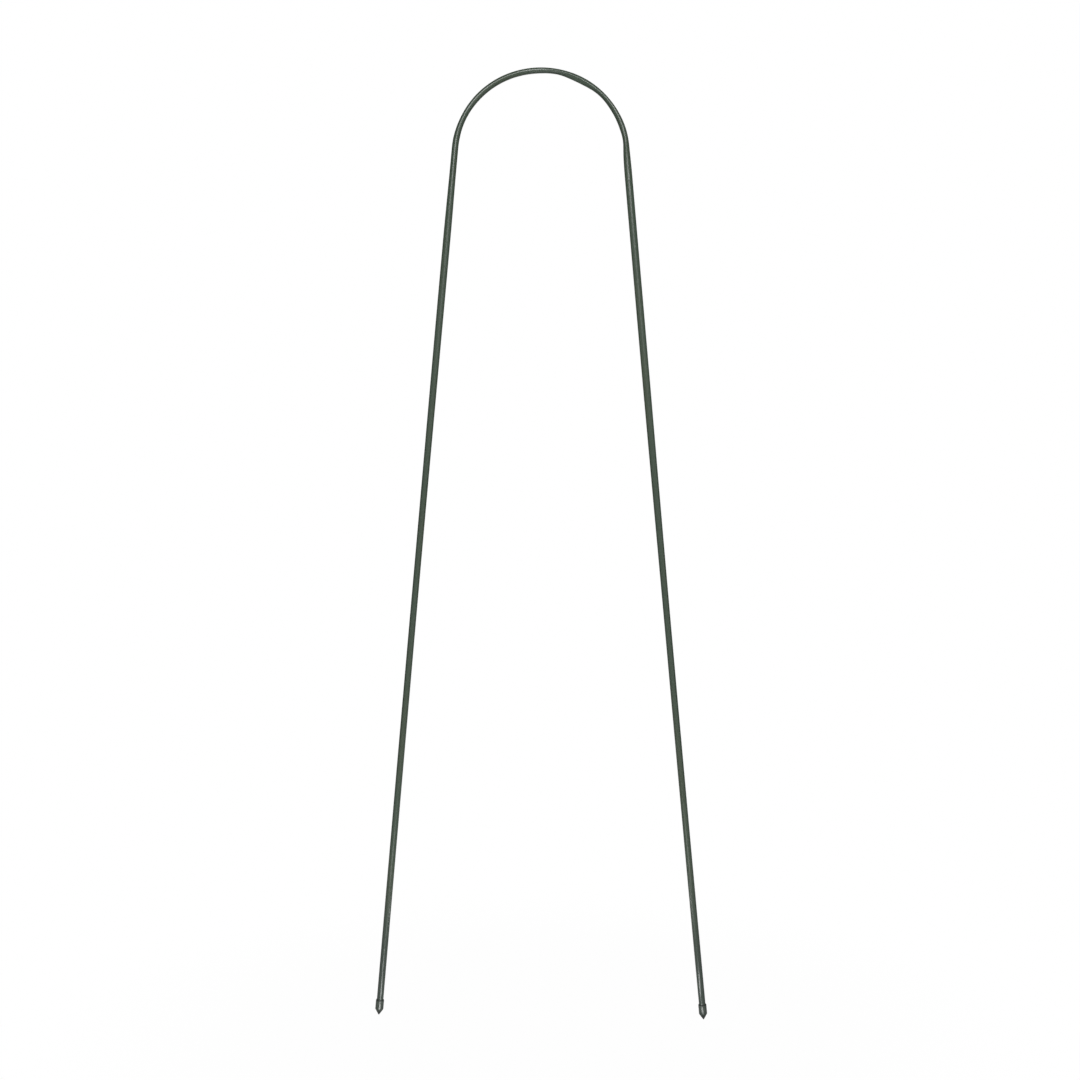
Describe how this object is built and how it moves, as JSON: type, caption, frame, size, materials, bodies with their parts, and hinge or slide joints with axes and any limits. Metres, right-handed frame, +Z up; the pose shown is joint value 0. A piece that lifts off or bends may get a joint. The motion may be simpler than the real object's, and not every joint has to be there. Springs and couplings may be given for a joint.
{
  "type": "arched tomato support",
  "caption": "Tall hoop of plastic-coated steel tube with two leaning legs and a blunt ground spike on each, for tying climbing plants to.",
  "frame": {"origin": "on the ground under the middle of the arch, level with the point of the longer right leg's spike, in the plane of the hoop", "axes": "+Z up, +X to the right across the hoop as the picture shows it, +Y away from the viewer through the hoop"},
  "size_m": [0.5577, 0.0136, 1.5996],
  "materials": {
    "coating": "dark green satin extruded coating with faint lengthwise streaks",
    "steel": "plain thin-walled tube, seen only if a spike is pulled off",
    "spike": "dark green moulded plastic, a little glossier than the coating"
  },
  "bodies": {
    "root": {"plastic_coating": "coating", "steel_tube": "steel", "left_ground_spike": "spike", "right_ground_spike": "spike"}
  },
  "joints": []
}
